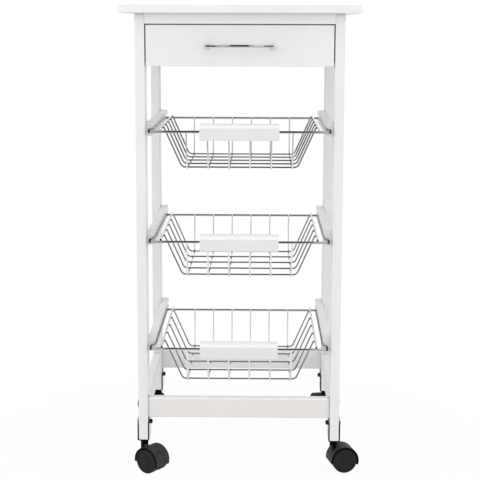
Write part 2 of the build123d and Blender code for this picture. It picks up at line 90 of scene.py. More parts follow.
def combine(tree, operation, *values, kind="ShaderNodeMath"):
    maths = add_node(tree, kind)
    maths.operation = operation
    for value, socket in zip(values, maths.inputs):
        feed(tree, value, socket)
    return maths.outputs["Value"]


def coordinate(tree, kind):
    return add_node(tree, "ShaderNodeTexCoord").outputs[kind]


def split(tree, vector):
    parts = add_node(tree, "ShaderNodeSeparateXYZ")
    tree.links.new(vector, parts.inputs["Vector"])
    return parts.outputs


print("helpers that add nodes are ready")


# %% Helpers for patterns and masks
def noise_field(tree, stretch, detail, roughness=0.55):
    mapping = add_node(tree, "ShaderNodeMapping", Scale=stretch)
    field = add_node(tree, "ShaderNodeTexNoise", Scale=1.0, Detail=detail, Roughness=roughness)
    tree.links.new(coordinate(tree, "Object"), mapping.inputs["Vector"])
    tree.links.new(mapping.outputs["Vector"], field.inputs["Vector"])
    return field.outputs["Fac"]


def spread(tree, value, low, high, start=0.3, end=0.7):
    limits = {"From_Min": start, "From_Max": end, "To_Min": low, "To_Max": high}
    reach = add_node(tree, "ShaderNodeMapRange", **limits)
    tree.links.new(value, reach.inputs["Value"])
    return reach.outputs["Result"]


def mask(tree, value, start=0.3, end=0.7):
    return spread(tree, value, 0.0, 1.0, start, end)


def edge_mask(tree, radius):
    bevel = add_node(tree, "ShaderNodeBevel", Radius=radius).outputs["Normal"]
    face = add_node(tree, "ShaderNodeNewGeometry").outputs["Normal"]
    agreement = combine(tree, "DOT_PRODUCT", bevel, face, kind="ShaderNodeVectorMath")
    return spread(tree, agreement, 1.0, 0.0, start=0.75, end=0.98)


print("helpers for patterns and masks are ready")


# %% Helpers for colour and surface
def shaded(colour, shades):
    return tuple(channel * shade for channel, shade in zip(colour, shades))


def blend_colours(tree, share, first, second):
    mix = add_node(tree, "ShaderNodeMix")
    mix.data_type = "RGBA"
    # This node has sockets for each kind of data. For colours they are inputs 6 and 7, output 2.
    for colour, socket in ((first, mix.inputs[6]), (second, mix.inputs[7])):
        feed(tree, (*colour, 1.0) if isinstance(colour, tuple) else colour, socket)
    tree.links.new(share, mix.inputs[0])
    return mix.outputs[2]


def raise_bump(tree, shader, height, strength, distance, edge_radius=0.0):
    bump = add_node(tree, "ShaderNodeBump", Strength=strength, Distance=distance)
    tree.links.new(height, bump.inputs["Height"])
    if edge_radius:
        bevel = add_node(tree, "ShaderNodeBevel", Radius=edge_radius)
        tree.links.new(bevel.outputs["Normal"], bump.inputs["Normal"])
    tree.links.new(bump.outputs["Normal"], shader.inputs["Normal"])


def dress(tree, shader, colour, roughness, metallic=0.0):
    tree.links.new(colour, shader.inputs["Base Color"])
    tree.links.new(roughness, shader.inputs["Roughness"])
    shader.inputs["Metallic"].default_value = metallic


print("helpers for colour and surface are ready")

# %% [markdown]
# ### Painted boards
# The boards are wood under a satin white paint. The paint hides the colour of the wood but follows
# its grain a little, so a fine noise, drawn out along each board, drives a faint bump and the
# gloss. A plain white would do from far away, but up close it looks like plastic. A slow noise
# makes the white a little uneven, and the edges, where paint is thin and hands rub, go slightly
# grey. Inner corners, which the Ambient Occlusion node finds, are darkened: painted shade.

# %% Paint that follows the grain of a board
grain_along, grain_across, cloud_scale = 14, 420, 9
# The third shade on the next line darkens inner corners as painted shade; the other two are uneven
# paint and worn edges.
cloud_shade, rubbed_shade, grime_shade = (0.955,) * 3, (0.90, 0.895, 0.885), (0.70, 0.675, 0.66)
worn_radius, grime_reach, paint_round, grain_depth = 0.0011, 0.007, 0.0008, 0.0004
streak_share, streak_from, streak_to = 0.32, 0.52, 0.72


def painted_board(name, colour, grain, gloss=(0.34, 0.50), top=None, grime=grime_shade):
    material, tree, shader = start_finish(name)
    stretch = [grain_along if axis == grain else grain_across for axis in "xyz"]
    fine = noise_field(tree, stretch, detail=5.0)
    slow = noise_field(tree, (cloud_scale,) * 3, detail=2.0)
    dim = shaded(colour, cloud_shade)
    coat = blend_colours(tree, mask(tree, slow), colour, dim)
    streaks = spread(tree, fine, 0.0, streak_share, streak_from, streak_to)
    coat = blend_colours(tree, streaks, coat, dim)
    coat = blend_colours(tree, edge_mask(tree, worn_radius), coat, shaded(colour, rubbed_shade))
    # Painted highlight: faces turned upwards take the paler top colour, as light from above falls
    # on them.
    if top is not None:
        upward = split(tree, coordinate(tree, "Normal"))["Z"]
        coat = blend_colours(tree, mask(tree, upward, start=0.12, end=0.30), coat, top)
    # Painted shade: Ambient Occlusion darkens inner corners, such as the strip under the table top.
    corner = add_node(tree, "ShaderNodeAmbientOcclusion", Distance=grime_reach)
    corner_shade_share = spread(tree, corner.outputs["AO"], 1.0, 0.0, start=0.5, end=0.95)
    coat = blend_colours(tree, corner_shade_share, coat, shaded(colour, grime))
    dress(tree, shader, coat, spread(tree, fine, *gloss))
    raise_bump(tree, shader, fine, strength=0.10, distance=grain_depth, edge_radius=paint_round)
    return material


def grain_set(kind, colour, **options):
    return {
        axis: painted_board(f"{kind}_paint_grain_{axis}", colour, axis, **options) for axis in "xyz"
    }


print("grain:", grain_along, "along a board and", grain_across, "across it")

# %% [markdown]
# No two batches of white paint match, so one white for everything would look too even. The front
# rail, which meets feet and mops, is warmer. Rails and runners, which sit in shade, take a paler
# white: painted light. On the front rail and the grips, upward faces take a paler colour, a painted
# highlight where light from above falls. The drawer's bottom is bare board.

# %% Mix the paints
paints = {
    "white": grain_set("white", (0.85, 0.85, 0.85)),
    # A paler white for boards that sit in shade: painted light, with a lighter painted corner
    # shade.
    "shade_lifted": grain_set("shade_lifted", (0.91, 0.898, 0.89), grime=(0.92, 0.905, 0.895)),
}
# The top colours of the front rail and the grips are a painted highlight on their upward faces.
rail_paint = painted_board("front_rail_paint", (0.825, 0.80, 0.785), "x", top=(0.95, 0.935, 0.925))
grip_paint = painted_board("grip_paint", (0.81, 0.81, 0.81), "x", top=(0.92, 0.92, 0.92))
top_paint = painted_board("table_paint", (0.875, 0.885, 0.89), "x", gloss=(0.28, 0.42))
panel_finish = painted_board("panel_board", (0.80, 0.79, 0.76), "y", gloss=(0.5, 0.65))
single_paints = (rail_paint, grip_paint, top_paint, panel_finish)
print("paints:", list(paints), *(paint.name for paint in single_paints))

# %% [markdown]
# ### Plated metals
# Chrome plate on the wires is bright and smooth, but never perfect: it picks up smears. A perfect
# mirror would be simpler, but looks drawn, so a noise moves its colour and roughness. The hoops
# take a darker chrome and the bars and the handle a brighter one: painted shade and light on one
# plate.
# The frame wire turns near black in its grooves, as painted shade, and at its cut tips, as a
# painted dark reflection.
# Screws and axles are plain zinc-plated steel, drawn out by the tool that turned them, and the
# strap bolts are blackened.

# %% Plate that smears dull, with painted shade in grooves and a painted dark reflection at tips
groove_x, groove_y, tip_x = 0.1315, -0.1500, 0.1388
# The dark colour on the next line paints the shade of the grooves and a dark reflection at the
# wire's tips.
fade_x, fade_y, painted_dark_steel = 0.001, 0.003, (0.07, 0.062, 0.055)
chrome_gloss, chrome_smears = (0.02, 0.07), (160, 160, 160)
tool_gloss, turned_marks, even_marks = (0.30, 0.45), (900, 300, 300), (500, 500, 500)
metal_depth = 0.0002


# Painted shade where the frame wire lies in the grooves, and a painted dark reflection at its tips.
def rubbed_away(tree):
    place = split(tree, coordinate(tree, "Object"))
    aside = combine(tree, "ABSOLUTE", place["X"])
    beside = mask(tree, aside, groove_x, groove_x + fade_x)
    behind = mask(tree, place["Y"], groove_y, groove_y + fade_y)
    in_groove = combine(tree, "MULTIPLY", beside, behind)
    return combine(tree, "MAXIMUM", in_groove, mask(tree, aside, tip_x, tip_x + fade_x))


def plated_metal(name, colour, dull, gloss, stretch, rubbed=False):
    material, tree, shader = start_finish(name)
    smears = noise_field(tree, stretch, detail=3.0)
    plate = blend_colours(tree, mask(tree, smears), colour, dull)
    if rubbed:
        plate = blend_colours(tree, rubbed_away(tree), plate, painted_dark_steel)
    dress(tree, shader, plate, spread(tree, smears, *gloss), metallic=1.0)
    raise_bump(tree, shader, smears, strength=0.04, distance=metal_depth)
    return material


def chrome_plate(name, colour, dull, **options):
    return plated_metal(name, colour, dull, chrome_gloss, chrome_smears, **options)


# The hoops' darker chrome and the bars' brighter chrome are painted shade and painted light on one
# plate.
chrome = chrome_plate("chrome_wire", (0.62, 0.625, 0.63), (0.54, 0.545, 0.55), rubbed=True)
shaded_chrome = chrome_plate("chrome_hoops", (0.39, 0.395, 0.40), (0.31, 0.315, 0.32))
lit_chrome = chrome_plate("chrome_bars", (0.87, 0.875, 0.88), (0.79, 0.795, 0.80))
zinc = plated_metal("screw_steel", (0.42, 0.42, 0.43), (0.30, 0.30, 0.31), tool_gloss, turned_marks)
bolt_steel = plated_metal("bolt_steel", (0.05,) * 3, (0.03,) * 3, tool_gloss, even_marks)
print("metals:", *(metal.name for metal in (chrome, shaded_chrome, lit_chrome, zinc, bolt_steel)))

# %% [markdown]
# ### Sheared strip
# The straps that hold the casters are sheared from bright strip, and the rolled faces shine. The
# cut edges, which face forwards and backwards, are painted near black: painted shade. Two materials
# on one strap would need its faces picked out, so one material looks at the way a face points.

# %% Strip with painted shade on its cut edges
rolling_marks, rolled_shade, strip_gloss = (220, 220, 900), (0.8, 0.8, 0.8), (0.12, 0.24)


def sheared_strip(name, face, edge_shade):
    material, tree, shader = start_finish(name)
    rolled = noise_field(tree, rolling_marks, detail=3.0)
    facing = split(tree, add_node(tree, "ShaderNodeNewGeometry").outputs["Normal"])
    # Painted shade: faces pointing forwards or backwards, the cut edges, turn near black.
    edge_shade_share = mask(tree, combine(tree, "ABSOLUTE", facing["Y"]), start=0.5, end=0.9)
    plate = blend_colours(tree, mask(tree, rolled), face, shaded(face, rolled_shade))
    strip = blend_colours(tree, edge_shade_share, plate, edge_shade)
    dress(tree, shader, strip, spread(tree, rolled, *strip_gloss), metallic=1.0)
    raise_bump(tree, shader, rolled, strength=0.05, distance=metal_depth)
    return material


strap_steel = sheared_strip("strap_steel", (0.50, 0.50, 0.51), (0.008, 0.008, 0.008))
print("strip:", strap_steel.name)

# %% [markdown]
# ### Moulded plastic
# The caster hoods and wheels are black plastic. A mould leaves a very fine grain, which is too
# small to model, so the bump is tiny and even. Dust lies in patches on the round of a hood, broken
# up by a noise. A hood's end faces, which point along its axle, and its neck, which the strap
# shades, are painted black: painted shade. Each hood points its own way, so each has its own
# version, which knows its axle.

# %% Plastic that gathers dust
neck_from, neck_to, painted_hood_shade = 0.0435, 0.0450, (0.002, 0.002, 0.002)
mould_grain, dust_patches = (1500, 1500, 1500), (130, 130, 130)
mould_depth, mould_round = 0.0002, 0.0006


# Painted shade: the hood's end faces and its neck turn black.
def painted_hood_shade_mask(tree, axle):
    facing = coordinate(tree, "Normal")
    along = combine(tree, "DOT_PRODUCT", facing, axle, kind="ShaderNodeVectorMath")
    end_face = mask(tree, combine(tree, "ABSOLUTE", along), start=0.75, end=0.95)
    height = split(tree, coordinate(tree, "Object"))["Z"]
    return combine(tree, "MAXIMUM", end_face, mask(tree, height, neck_from, neck_to))


def moulded_plastic(name, colour, dust, gloss, shine, axle=None):
    material, tree, shader = start_finish(name)
    mould = noise_field(tree, mould_grain, detail=2.0)
    patches = noise_field(tree, dust_patches, detail=5.0, roughness=0.7)
    skin = blend_colours(tree, mask(tree, patches, start=0.35, end=0.7), colour, dust)
    # The end faces and the neck take painted shade.
    if axle is not None:
        skin = blend_colours(tree, painted_hood_shade_mask(tree, axle), skin, painted_hood_shade)
    dress(tree, shader, skin, spread(tree, patches, *gloss))
    shader.inputs["Specular IOR Level"].default_value = shine
    raise_bump(tree, shader, mould, strength=0.10, distance=mould_depth, edge_radius=mould_round)
    return material


wheel_black, wheel_dust = (0.0115, 0.0095, 0.0100), (0.0155, 0.0130, 0.0135)
wheel_plastic = moulded_plastic(
    "wheel_plastic", wheel_black, wheel_dust, gloss=(0.48, 0.60), shine=0.20
)
print("plastic:", wheel_plastic.name)


# %% Plastic for each hood, which knows its axle
def middle_of(name):
    low, high = (Vector(corner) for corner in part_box(name))
    return (low + high) / 2


hood_black, hood_dust = (0.036, 0.033, 0.033), (0.066, 0.060, 0.060)
hood_plastic = {}
for corner in ("front_left", "front_right", "rear_left", "rear_right"):
    wheel_a, wheel_b = (middle_of(f"caster_{corner}_wheel_{side}") for side in "ab")
    hood_plastic[f"caster_{corner}_housing"] = moulded_plastic(
        f"caster_shell_{corner}",
        hood_black,
        hood_dust,
        gloss=(0.38, 0.50),
        shine=0.04,
        axle=(wheel_a - wheel_b).normalized(),
    )
print("hoods:", list(hood_plastic))

# %% [markdown]
# ## Finish the solids
# A board's grain follows its longest side, so each painted solid takes the paint whose grain runs
# along the longest edge of its box. Choosing by hand would take a line for each board, and a rule
# misses none. Everything else takes the finish that its slot in the record names, apart from a few
# single pieces.

# %% Give every solid its finish
slots = {part["node"]: part["material_slot"] for part in frame["record"]["subparts"]}
finishes = {
    "table_paint": top_paint,
    "panel_board": panel_finish,
    "chrome_wire": chrome,
    "strap_steel": strap_steel,
    "screw_steel": zinc,
    "wheel_plastic": wheel_plastic,
}
grips = {name: grip_paint for name in nodes if name.endswith("_grip")}
singles = {"strap_bolts": bolt_steel, "lower_rail_front": rail_paint, **grips, **hood_plastic}
for name, solid in nodes.items():
    low, high = (Vector(corner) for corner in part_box(name))
    size = high - low
    grain = "xyz"[max(range(3), key=lambda axis: size[axis])]
    # Rails, runners and aprons, which sit in shade, take the paler white: painted light.
    shade_lifted = any(word in name for word in ("runner", "rail", "apron"))
    paint = paints["shade_lifted" if shade_lifted else "white"][grain]
    finish = singles.get(name) or finishes.get(slots[name], paint)
    solid.data.materials.clear()
    solid.data.materials.append(finish)
print("finished solids:", len(nodes), "single finishes:", len(singles))

# %% [markdown]
# ## Wire baskets
# Each basket is bent from round wire and spot-welded. Its wires could be drawn as curves one by
# one, but they differ only in their corners and radii. So a Geometry Nodes tree turns a few corner
# points into a smooth bent wire: the points become a curve, Fillet Curve rounds the corners and
# Curve to Mesh gives the wire its thickness.


# %% Helpers that start and end a tree
def start_tree(name, inputs):
    tree = bpy.data.node_groups.new(name, "GeometryNodeTree")
    tree.interface.new_socket("Geometry", in_out="INPUT", socket_type="NodeSocketGeometry")
    for label, kind in inputs.items():
        tree.interface.new_socket(label, in_out="INPUT", socket_type=kind)
    tree.interface.new_socket("Geometry", in_out="OUTPUT", socket_type="NodeSocketGeometry")
    return tree, add_node(tree, "NodeGroupInput").outputs


def end_tree(tree, geometry, finish):
    realize = add_node(tree, "GeometryNodeRealizeInstances")
    paint = add_node(tree, "GeometryNodeSetMaterial")
    result = add_node(tree, "NodeGroupOutput")
    tree.links.new(geometry, realize.inputs["Geometry"])
    tree.links.new(realize.outputs["Geometry"], paint.inputs["Geometry"])
    tree.links.new(finish, paint.inputs["Material"])
    tree.links.new(paint.outputs["Geometry"], result.inputs["Geometry"])
    print("tree:", tree.name, "nodes:", len(tree.nodes))


print("helpers that start and end a tree are ready")

# %% Tree that bends round wire along corner points
bent_wire, given = start_tree(
    "Bent wire",
    {
        "Wire radius": "NodeSocketFloat",
        "Bend radius": "NodeSocketFloat",
        "Bend steps": "NodeSocketInt",
        "Sides": "NodeSocketInt",
        "Finish": "NodeSocketMaterial",
    },
)
to_curve = add_node(bent_wire, "GeometryNodeMeshToCurve")
round_bends = add_node(bent_wire, "GeometryNodeFilletCurve")
round_bends.mode = "POLY"
section = add_node(bent_wire, "GeometryNodeCurvePrimitiveCircle")
thicken = add_node(bent_wire, "GeometryNodeCurveToMesh", Fill_Caps=True)
for start, end in (
    (given["Geometry"], to_curve.inputs["Mesh"]),
    (to_curve.outputs["Curve"], round_bends.inputs["Curve"]),
    (given["Bend radius"], round_bends.inputs["Radius"]),
    (given["Bend steps"], round_bends.inputs["Count"]),
    (given["Sides"], section.inputs["Resolution"]),
    (given["Wire radius"], section.inputs["Radius"]),
    (round_bends.outputs["Curve"], thicken.inputs["Curve"]),
    (section.outputs["Curve"], thicken.inputs["Profile Curve"]),
):
    bent_wire.links.new(start, end)
end_tree(bent_wire, thicken.outputs["Mesh"], given["Finish"])

# %% [markdown]
# Where two wires cross, a spot weld squeezes them together and leaves a small swelling. Modelling
# each of them by hand would be slow, so a second tree puts a bead on every crossing point it is
# given: one bead, repeated by Instance on Points, with a fixed seed for its size, because no two
# welds are quite alike.

# %% Tree that sets a weld bead on each crossing
weld_beads, given = start_tree(
    "Weld beads",
    {"Bead radius": "NodeSocketFloat", "Seed": "NodeSocketInt", "Finish": "NodeSocketMaterial"},
)
bead = add_node(weld_beads, "GeometryNodeMeshUVSphere", Segments=10, Rings=6)
vary = add_node(weld_beads, "FunctionNodeRandomValue")
vary.data_type = "FLOAT"
smallest, largest = 0.85, 1.1
# This node, too, has sockets for each kind of data. For floats, inputs 2 and 3 are the limits.
vary.inputs[2].default_value = smallest
vary.inputs[3].default_value = largest
on_points = add_node(weld_beads, "GeometryNodeInstanceOnPoints")
smooth = add_node(weld_beads, "GeometryNodeSetShadeSmooth")
for start, end in (
    (given["Geometry"], on_points.inputs["Points"]),
    (given["Bead radius"], bead.inputs["Radius"]),
    (given["Seed"], vary.inputs["Seed"]),
    (bead.outputs["Mesh"], smooth.inputs["Geometry"]),
    (smooth.outputs["Geometry"], on_points.inputs["Instance"]),
    (vary.outputs[1], on_points.inputs["Scale"]),
):
    weld_beads.links.new(start, end)
end_tree(weld_beads, on_points.outputs["Instances"], given["Finish"])

# %% [markdown]
# A tree works on an object, so the corner points go into a small mesh that holds nothing else. Its
# modifier is evaluated once, the result is kept as a plain mesh, and the holder goes. A modifier
# left in place would be shorter, but the export needs plain meshes. Meshes that share a body and a
# finish are then joined into one piece, which rides on its body, and the solid it replaces is
# hidden.


# %% Run a tree on corner points
def run_tree(tree, chains, settings):
    corners = [point for chain in chains for point in chain]
    edges, start = [], 0
    for chain in chains:
        edges += [(start + step, start + step + 1) for step in range(len(chain) - 1)]
        start += len(chain)
    mesh = bpy.data.meshes.new("corner_points")
    mesh.from_pydata(corners, edges, [])
    holder = bpy.data.objects.new("corner_points", mesh)
    bpy.context.collection.objects.link(holder)
    modifier = holder.modifiers.new("nodes", "NODES")
    modifier.node_group = tree
    for item in tree.interface.items_tree:
        if item.item_type == "SOCKET" and item.in_out == "INPUT" and item.name in settings:
            modifier[item.identifier] = settings[item.name]
    bpy.context.view_layer.update()
    evaluated = holder.evaluated_get(bpy.context.evaluated_depsgraph_get())
    plain = bpy.data.meshes.new_from_object(evaluated)
    holder.modifiers.remove(modifier)
    bpy.data.objects.remove(holder)
    return plain


print("helper that runs a tree is ready")


# %% Join plain meshes into a piece
def join_meshes(name, meshes, body, finish, replaced):
    joined = bmesh.new()
    for mesh in meshes:
        joined.from_mesh(mesh)
        bpy.data.meshes.remove(mesh)
    for face in joined.faces:
        face.smooth = True
        face.material_index = 0
    bmesh.ops.recalc_face_normals(joined, faces=joined.faces)
    mesh = bpy.data.meshes.new(name)
    joined.to_mesh(mesh)
    joined.free()
    mesh.materials.append(finish)
    piece = bpy.data.objects.new(name, mesh)
    bpy.context.collection.objects.link(piece)
    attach(piece, body)
    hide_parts(*replaced)
    print("piece:", name, "on", body, "faces:", len(mesh.polygons))


print("helper that joins meshes is ready")

# %% [markdown]
# ### Shape of a basket
# The outer wire runs in the grooves of the battens, cranks outwards in front of them and meets the
# straight front wire. Two rims lie across the front and rear wires. Hoops hang from rim to rim, and
# bars pass under the hoops from the front wire to the rear wire. The corner points repeat those of
# the CAD model, in millimetres, so the wires lie where its solids are. The baskets differ only in
# their level.

# %% Sizes of a basket, in millimetres
frame_r, rim_r, mesh_r, bead_r, hair = 2.0, 1.6, 1.3, 1.7, 0.05
frame_bend, mesh_bend = 2.7, 8.0
side_x, front_y, rear_y = 135.0, -166.0, 107.0
jog_x, jog_y, front_drop, depth = 140.6, -153.0, 2.6, 61.5
rim_x, rim_over, foot_half, corner_lead = 123.5, 1.5, 95.0, 9.0
rim_lift = frame_r + rim_r + hair
front_inset, rear_inset, hoop_count, bar_count, bar_pitch = 37.5, 23.0, 5, 6, 33.4
first_hoop, last_hoop = front_y + front_inset, rear_y - rear_inset
hoop_run = last_hoop - first_hoop
hoop_ys = [first_hoop + hoop_run * step / (hoop_count - 1) for step in range(hoop_count)]
bar_xs = [(step - (bar_count - 1) / 2) * bar_pitch for step in range(bar_count)]
both_sides = (-1, 1)
print("hoops at Y:", hoop_ys, "bars at X:", bar_xs)


# %% Corner points of the outer wire, the front wire and the rims
def frame_points(level):
    half = [
        (jog_x, front_y + frame_r + hair, level),
        (jog_x, jog_y, level),
        (side_x, jog_y, level),
        (side_x, rear_y, level),
    ]
    outer = half + [(-x, y, z) for x, y, z in reversed(half)]
    end_x, front_z = jog_x + frame_r, level - front_drop
    return outer, [(-end_x, front_y, front_z), (end_x, front_y, front_z)]


def rim_height(level, y):
    return level - front_drop + rim_lift + front_drop * (y - front_y) / (rear_y - front_y)


def rim_points(level):
    ends = (front_y - rim_over, rear_y + rim_over)
    return [[(side * rim_x, y, rim_height(level, y)) for y in ends] for side in both_sides]


print("outer wire of a basket:", len(frame_points(0.0)[0]), "points")


# %% Corner points of hoops and bars
def hoop_points(level):
    hoops, hoop_z = [], level - depth
    for y in hoop_ys:
        rim_z = rim_height(level, y)
        lean = math.atan2(rim_x - foot_half, rim_z - hoop_z)
        inward = (rim_r + mesh_r + hair) / math.cos(lean)
        top_x, foot_x = rim_x - inward + rim_r * math.tan(lean), foot_half - inward
        half = [(top_x, y, rim_z + rim_r), (foot_x, y, hoop_z)]
        hoops.append(half + [(-x, y, z) for x, y, z in reversed(half)])
    return hoops


def bar_points(level):
    front_z, bar_z = level - front_drop, level - depth - 2 * mesh_r - hair
    front_corner, rear_corner = first_hoop - corner_lead, last_hoop + corner_lead
    touch = frame_r + mesh_r + hair
    front_lean = math.atan2(front_corner - front_y, front_z - bar_z)
    rear_lean = math.atan2(rear_y - rear_corner, level - bar_z)
    ahead, behind = touch / math.cos(front_lean), touch / math.cos(rear_lean)
    side_view = (
        (front_y + ahead, front_z),
        (front_corner + ahead, bar_z),
        (rear_corner - behind, bar_z),
        (rear_y - behind + frame_r * math.tan(rear_lean), level + frame_r),
    )
    return [[(x, y, z) for y, z in side_view] for x in bar_xs]


print("a basket has", len(hoop_points(0.0)), "hoops and", len(bar_points(0.0)), "bars")

# %% Points of the welds
weld_sink, front_sink, jog_back, jog_sink = 0.3, 0.4, 1.6, 1.2


def weld_points(level):
    front_z, hoop_z = level - front_drop, level - depth
    welds = []
    for y in hoop_ys:
        rim_z = rim_height(level, y) - weld_sink
        welds += [(side * (rim_x - rim_r), y, rim_z) for side in both_sides]
        welds += [(x, y, hoop_z - mesh_r) for x in bar_xs]
    welds += [(x, front_y + frame_r, front_z - front_sink) for x in bar_xs]
    welds += [(x, rear_y - frame_r, level - weld_sink) for x in bar_xs]
    crossings = ((front_y, front_z), (rear_y, level))
    welds += [(side * rim_x, y, z + frame_r) for side in both_sides for y, z in crossings]
    welds += [(side * jog_x, front_y + jog_back, level - jog_sink) for side in both_sides]
    return welds


print("welds in a basket:", len(weld_points(0.0)))

# %% Bend and weld the baskets
mm, bend_steps, wire_sides, bead_seed = 0.001, 7, 14, 7


def metres(points):
    return [tuple(value * mm for value in point) for point in points]


def bend(chains, radius, bend_radius, finish):
    settings = {
        "Wire radius": radius * mm,
        "Bend radius": bend_radius * mm,
        "Bend steps": bend_steps,
        "Sides": wire_sides,
        "Finish": finish,
    }
    return run_tree(bent_wire, [metres(chain) for chain in chains], settings)


def make_basket(body, level):
    outer, front = frame_points(level)
    frame_wires = (([outer], frame_r), ([front], frame_r), (rim_points(level), rim_r))
    bead_settings = {"Bead radius": bead_r * mm, "Seed": bead_seed, "Finish": shaded_chrome}
    beads = run_tree(weld_beads, [[point] for point in metres(weld_points(level))], bead_settings)
    hoops = bend(hoop_points(level), mesh_r, mesh_bend, shaded_chrome)
    bars = bend(bar_points(level), mesh_r, mesh_bend, lit_chrome)
    groups = {
        "frame": (chrome, [bend(chains, r, frame_bend, chrome) for chains, r in frame_wires]),
        "hoops": (shaded_chrome, [hoops, beads]),
        "bars": (lit_chrome, [bars]),
    }
    for group, (finish, meshes) in groups.items():
        name = f"{body}_{group}"
        join_meshes(f"{name}_wire", meshes, body, finish, [name])


for basket, level in (("bottom", 212.0), ("middle", 385.5), ("top", 559.0)):
    make_basket(f"basket_{basket}", level)

# %% [markdown]
# ## Drawer handle
# The handle is a plain rod: two feet that lean outward, and between them one even bow, which sweeps
# its mirror image from side to side. An arc between straight runs would break that image where they
# meet, so the bow is one parabola. The rod tips upward a little from its feet, and the wire tree
# bends it.

# %% Bend the handle, in millimetres
rod_r, rod_bend, half_steps = 2.5, 8.0, 8
foot_half_x, corner_half_x, corner_reach, bow = 48.2, 58.9, 13.3, 5.2
tip_up = math.radians(5.5)
face_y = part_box("drawer_front")[0][1] / mm
screw_z = middle_of("handle_screws").z / mm
bow_xs = [corner_half_x * (step / half_steps - 1) for step in range(2 * half_steps + 1)]
plan = [(x, corner_reach + bow * (1 - (x / corner_half_x) ** 2)) for x in bow_xs]
plan = [(-foot_half_x, hair), *plan, (foot_half_x, hair)]
tip_y, tip_z = math.cos(tip_up), math.sin(tip_up)
rod = [(x, face_y - reach * tip_y, screw_z + reach * tip_z) for x, reach in plan]
handle = bend([rod], rod_r, rod_bend, lit_chrome)
join_meshes(
    "drawer_handle_rod", [handle], "drawer", lit_chrome, ["drawer_handle"]
)

# %% [markdown]
# ## Wheels
# A caster wheel is moulded: a tread with rounded shoulders and a groove, a raised rim and a dished
# face with a hub cap. It is turned like work on a lathe: one profile, spun round the axle. A Screw
# modifier would do the same, but a spin in bmesh gives a plain mesh at once. The profile's radius
# and width come from the CAD wheel, and each joint in the record says where an axle is and which
# way it points.

# %% Turn a profile round an axle
spin_steps, merge_within, upright = 56, 1e-6, Vector((0, 0, 1))


def turned(profile, centre, axis):
    spun = bmesh.new()
    points = [spun.verts.new((radius * mm, 0.0, along * mm)) for radius, along in profile]
    edges = [spun.edges.new(pair) for pair in zip(points, points[1:])]
    bmesh.ops.spin(
        spun,
        geom=points + edges,
        cent=(0, 0, 0),
        axis=upright,
        angle=2 * math.pi,
        steps=spin_steps,
        use_merge=True,
    )
    bmesh.ops.remove_doubles(spun, verts=spun.verts, dist=merge_within)
    turn = upright.rotation_difference(axis.normalized()).to_matrix().to_4x4()
    spun.transform(Matrix.Translation(centre) @ turn)
    mesh = bpy.data.meshes.new("turned")
    spun.to_mesh(mesh)
    spun.free()
    return mesh


print("steps round a wheel:", spin_steps)

# %% Turn the wheels on their axles
bore_and_inner_face = [(2.56, 12.4), (2.56, 4.0), (12.0, 4.0), (18.6, 4.0)]
inner_shoulder = [(19.2, 4.15), (19.7, 4.5), (20.0, 5.2)]
tread_groove = [(20.0, 9.9), (19.75, 10.0), (19.75, 10.5), (20.0, 10.6)]
outer_shoulder = [(20.0, 15.2), (19.8, 15.8), (19.4, 16.2), (18.8, 16.4)]
raised_rim = [(16.9, 16.4), (16.5, 16.3), (16.2, 16.0), (15.7, 15.6), (15.3, 15.5)]
hub_cap = [(7.2, 15.5), (6.9, 15.6), (6.7, 16.0), (6.3, 16.25), (4.0, 16.35), (0.0, 16.38)]
wheel_profile = bore_and_inner_face + inner_shoulder + tread_groove + outer_shoulder
wheel_profile += raised_rim + hub_cap
joints = {joint["name"]: joint for joint in frame["record"]["behaviour"]["joints"]}
for name in [name for name in nodes if "_wheel_" in name]:
    body = name.replace("caster_", "wheel_").replace("_wheel_", "_")
    joint = joints[f"{body}_spin"]
    hub, axle = Vector(joint["pos_m"]), Vector(joint["axis"])
    outward = axle if axle.dot(middle_of(name) - hub) > 0 else -axle
    wheel = turned(wheel_profile, hub, outward)
    join_meshes(f"{body}_turned", [wheel], body, wheel_plastic, [name])

# %% [markdown]
# ## Floor and background
# The floor is plain and pale. The camera, and any bright metal, see floor and background as white;
# near the cart the floor still shows some of its own shading, so a soft shadow stays. Lamps strong
# enough to burn the floor out to white would burn out the paint too, so the Light Path node tells
# the rays apart.


# %% Rays that see the background: straight from the camera, off metal or through glass
def seen_rays(tree):
    rays = add_node(tree, "ShaderNodeLightPath").outputs
    seen = rays["Is Camera Ray"]
    for kind in ("Is Glossy Ray", "Is Transmission Ray"):
        seen = combine(tree, "MAXIMUM", seen, rays[kind])
    return seen


def mix_surfaces(tree, share, first, second, result):
    mix = add_node(tree, "ShaderNodeMixShader")
    for value, socket in zip((share, first, second), mix.inputs):
        tree.links.new(value, socket)
    tree.links.new(mix.outputs["Shader"], result.inputs["Surface"])


print("helpers for floor and background are ready")


# %% Floor
def flat_sheet(name, corners, faces, finish):
    mesh = bpy.data.meshes.new(name)
    mesh.from_pydata(corners, [], faces)
    mesh.materials.append(finish)
    sheet = bpy.data.objects.new(name, mesh)
    bpy.context.collection.objects.link(sheet)
    return sheet


def matt_finish(name, grey, roughness=0.9):
    material, tree, shader = start_finish(name)
    shader.inputs["Base Color"].default_value = (grey, grey, grey, 1.0)
    shader.inputs["Roughness"].default_value = roughness
    return material, tree, shader


